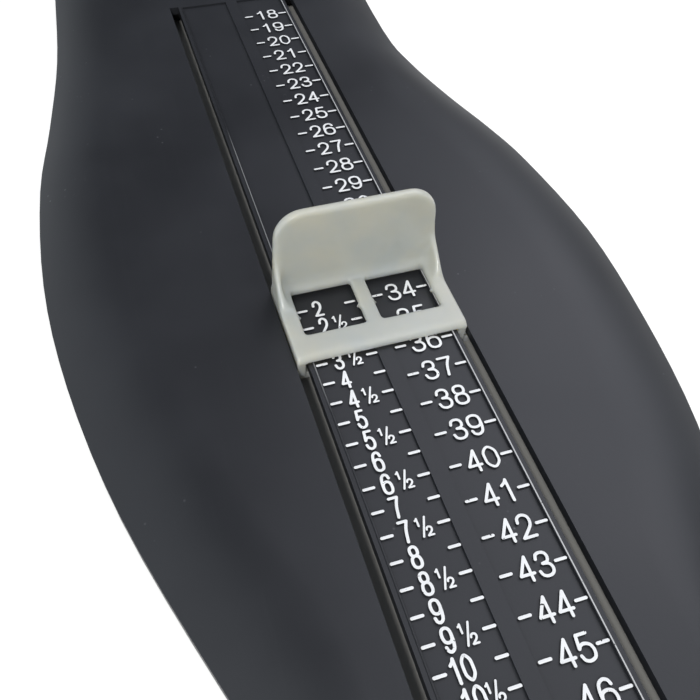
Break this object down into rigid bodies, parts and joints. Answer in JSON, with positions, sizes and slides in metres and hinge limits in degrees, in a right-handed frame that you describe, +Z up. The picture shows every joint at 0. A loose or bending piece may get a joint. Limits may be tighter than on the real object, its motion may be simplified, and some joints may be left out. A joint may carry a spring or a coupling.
{
  "type": "foot measuring device",
  "caption": "Sole-shaped foot measuring board with a heel cup and a toe stop that slides along a raised shoe-size scale.",
  "frame": {"origin": "middle of the footprint on the table, under the board", "axes": "+Y along the board towards the heel cup, +X across it, towards the European scale, +Z up from the table"},
  "size_m": [0.1146, 0.3404, 0.039],
  "materials": {
    "black_plastic": "fine satin moulded black with a soft sheen",
    "white_foil": "white foil on raised marks",
    "ivory_plastic": "milky ivory white, soft gloss"
  },
  "bodies": {
    "base": {"board": "black_plastic", "heel_cup": "black_plastic", "us_ticks": "white_foil", "eu_ticks": "white_foil", "edge_lines": "white_foil"},
    "stop": {"slider": "ivory_plastic", "slider_keeper": "ivory_plastic"}
  },
  "joints": [
    {"name": "stop_slide", "type": "slide", "parent": "base", "child": "stop", "axis": [0, 1, 0], "range_m": [-0.0843, 0.109]}
  ]
}
